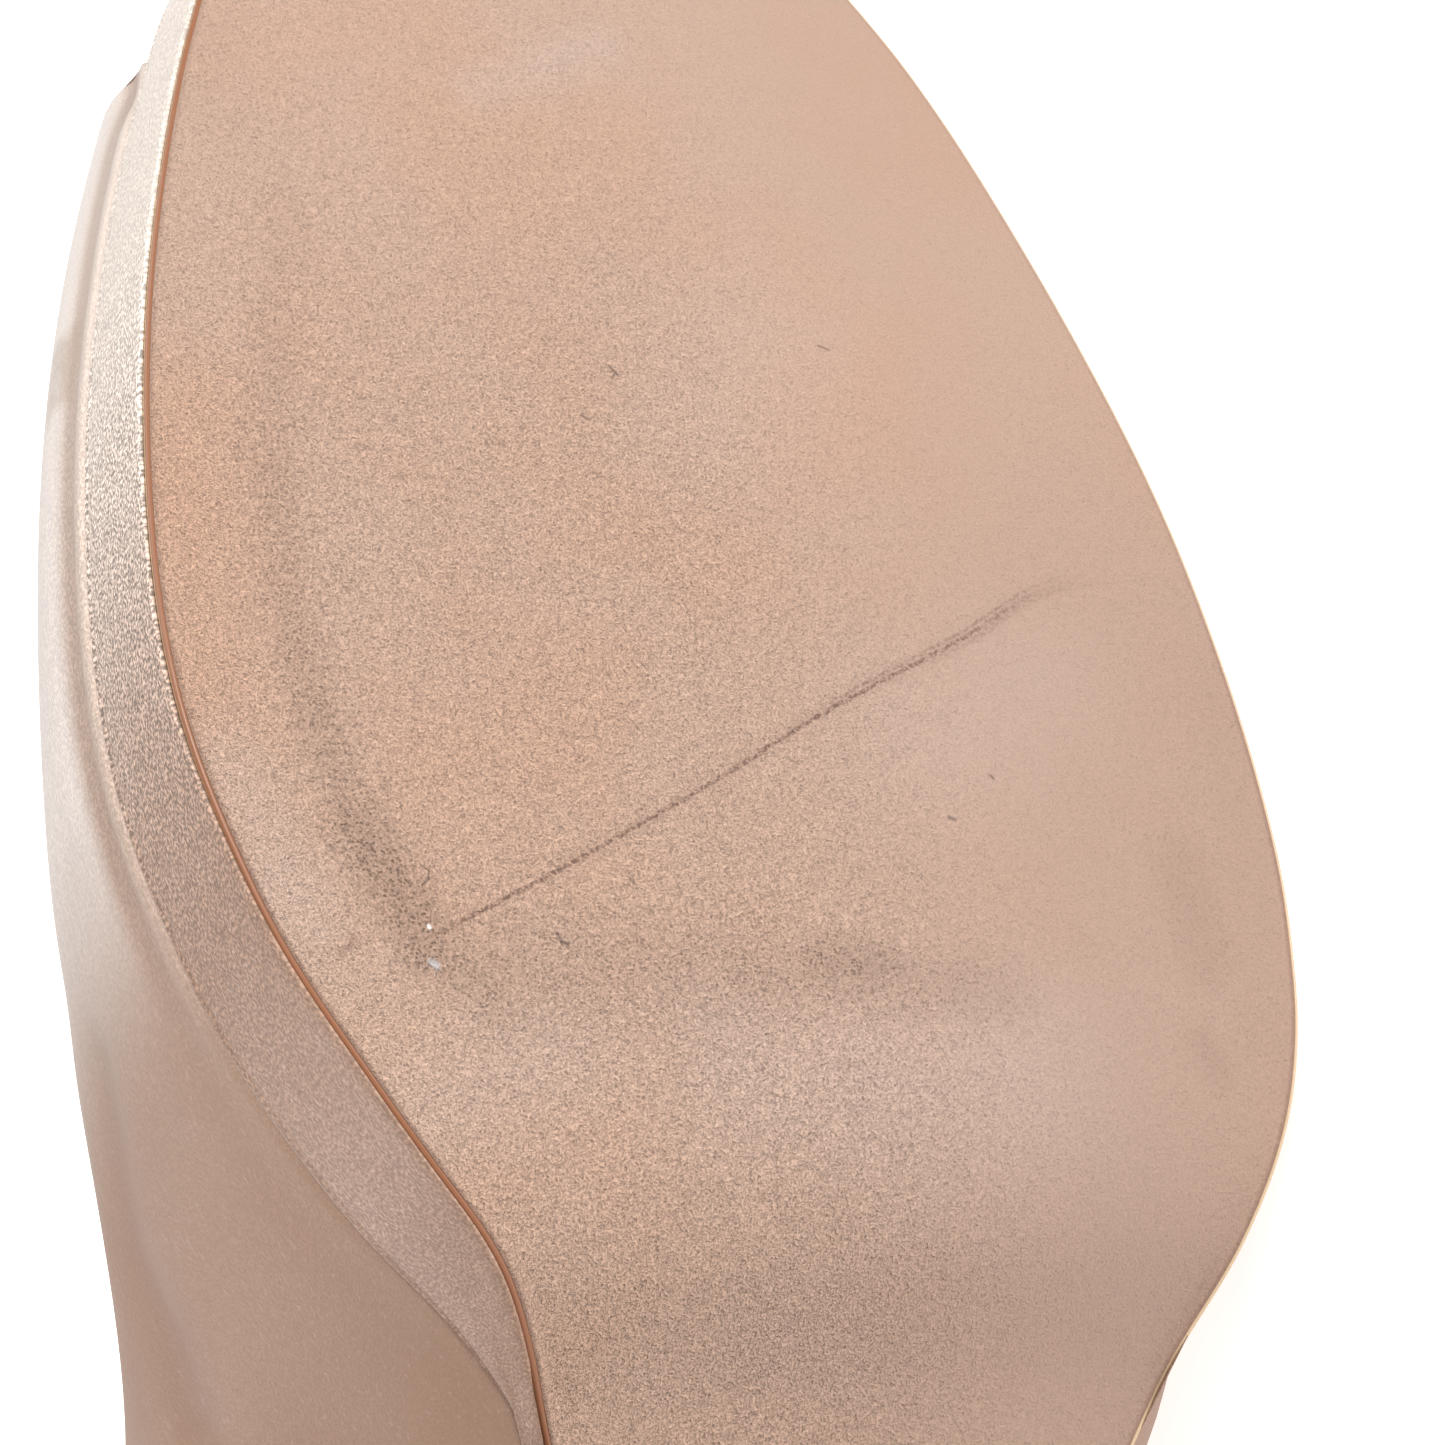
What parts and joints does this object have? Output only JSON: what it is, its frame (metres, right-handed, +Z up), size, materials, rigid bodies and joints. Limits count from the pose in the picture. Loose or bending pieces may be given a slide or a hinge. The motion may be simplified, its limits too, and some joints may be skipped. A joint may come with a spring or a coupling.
{
  "type": "peep toe pump",
  "caption": "High heeled pump for the left foot with a satin upper open at the toe, a covered platform and a leather sole.",
  "frame": {"origin": "centre of the bounding box's bottom, on the floor that the shoe lies on", "axes": "the shoe lies on its outer side: +Z up off the floor, +Y along the shoe towards the toe, +X towards the sole"},
  "size_m": [0.1532, 0.2066, 0.0846],
  "materials": {
    "outsole": "nude sole leather with a fine grain and a painted edge, lightly worn",
    "platform": "champagne satin over a light core",
    "insole": "smooth nude leather sock over a board",
    "upper": "champagne satin with a leather lining",
    "heel": "wooden heel covered in champagne satin",
    "top_lift": "hard matt ground piece"
  },
  "bodies": {
    "root": {"outsole": "outsole", "platform": "platform", "insole": "insole", "upper": "upper", "heel": "heel", "top_lift": "top_lift"}
  },
  "joints": []
}
